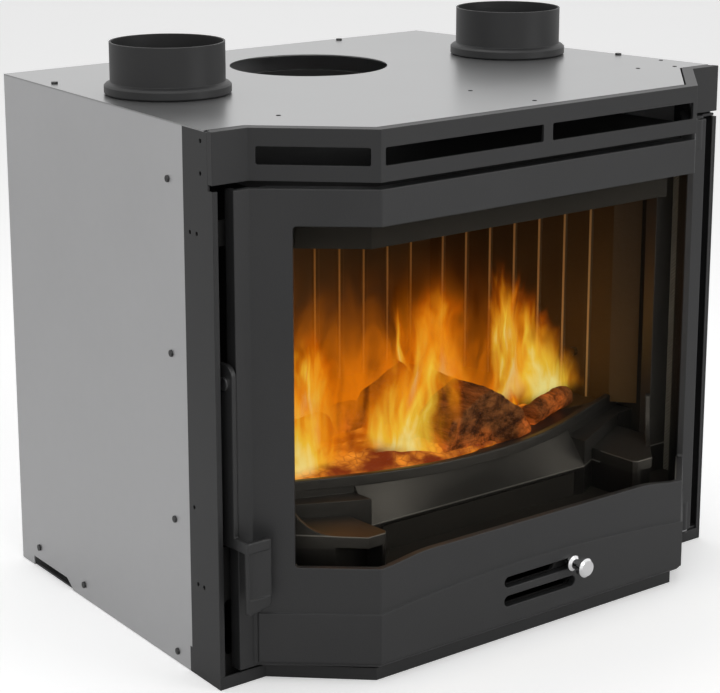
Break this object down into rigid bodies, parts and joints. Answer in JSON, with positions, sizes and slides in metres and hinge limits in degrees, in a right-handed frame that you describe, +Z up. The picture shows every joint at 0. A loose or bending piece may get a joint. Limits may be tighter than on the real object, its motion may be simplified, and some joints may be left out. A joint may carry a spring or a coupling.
{
  "type": "fireplace insert",
  "caption": "Fireplace insert with a three-faced glazed cast door, a louvred hood, hot-air collars and a sunk flue outlet on a tapered casing.",
  "frame": {"origin": "on the floor, in the middle of the casing's front plane, between its two front corners", "axes": "+X to the right of someone who faces the door, +Y to the back of the casing, +Z up"},
  "size_m": [0.698, 0.5679, 0.6105],
  "materials": {
    "black_sheet": "matt black heat-proof paint on folded sheet",
    "galvanised": "satin galvanised sheet",
    "black_casting": "black-painted casting",
    "dark_plate": "sooty black plate",
    "lining": "heat-stained iron",
    "iron": "dark cast iron",
    "glass": "clear heat-proof glass ceramic",
    "rope": "glass-fibre rope",
    "bright": "polished",
    "zinc": "zinc-plated",
    "bark": "charred split log"
  },
  "bodies": {
    "casing": {"air_deflector": "dark_plate", "ash_pan": "dark_plate", "back_panel": "galvanised", "baffle_plate": "lining", "base_plate": "black_sheet", "bay_apron": "dark_plate", "corner_block_left": "iron", "corner_block_right": "iron", "firebox_body": "dark_plate", "firebox_crown": "dark_plate", "firebox_floor": "dark_plate", "firewood": "bark", "flue_spigot": "dark_plate", "fluted_back": "lining", "fluted_side_left": "lining", "fluted_side_right": "lining", "front_hood": "black_sheet", "front_jamb_left": "iron", "front_jamb_right": "iron", "front_strip_left": "black_sheet", "front_strip_right": "black_sheet", "grate": "iron", "hearth_bearers": "dark_plate", "hearth_front": "iron", "hearth_plate": "iron", "hinge_bracket_lower": "black_sheet", "hinge_bracket_upper": "black_sheet", "hinge_pins": "zinc", "hinge_washer": "zinc", "hot_air_collar_left": "black_sheet", "hot_air_collar_right": "black_sheet", "latch_keeper": "dark_plate", "log_retainer": "iron", "side_panel_left": "galvanised", "side_panel_right": "galvanised", "side_screws_left": "zinc", "side_screws_right": "zinc", "side_shield_left": "dark_plate", "side_shield_right": "dark_plate", "support_rails": "dark_plate", "top_panel": "galvanised", "top_screws": "zinc"},
    "door": {"door_frame": "black_casting", "glass_gasket": "rope", "door_glass": "glass", "glass_clips": "zinc", "door_rope": "rope", "lever_pivot": "zinc"},
    "lever": {"door_lever": "black_casting"},
    "register": {"air_register": "dark_plate", "register_knob": "bright"}
  },
  "joints": [
    {"name": "door_hinge", "type": "hinge", "parent": "casing", "child": "door", "pos_m": [0.3185, 0.004, 0.25], "axis": [0, 0, 1], "range_deg": [0, 95]},
    {"name": "lever_pivot", "type": "hinge", "parent": "door", "child": "lever", "pos_m": [-0.333, 0.005, 0.312], "axis": [-1, 0, 0], "range_deg": [0, 20]},
    {"name": "air_slide", "type": "slide", "parent": "door", "child": "register", "axis": [-1, 0, 0], "range_m": [0, 0.09]}
  ]
}
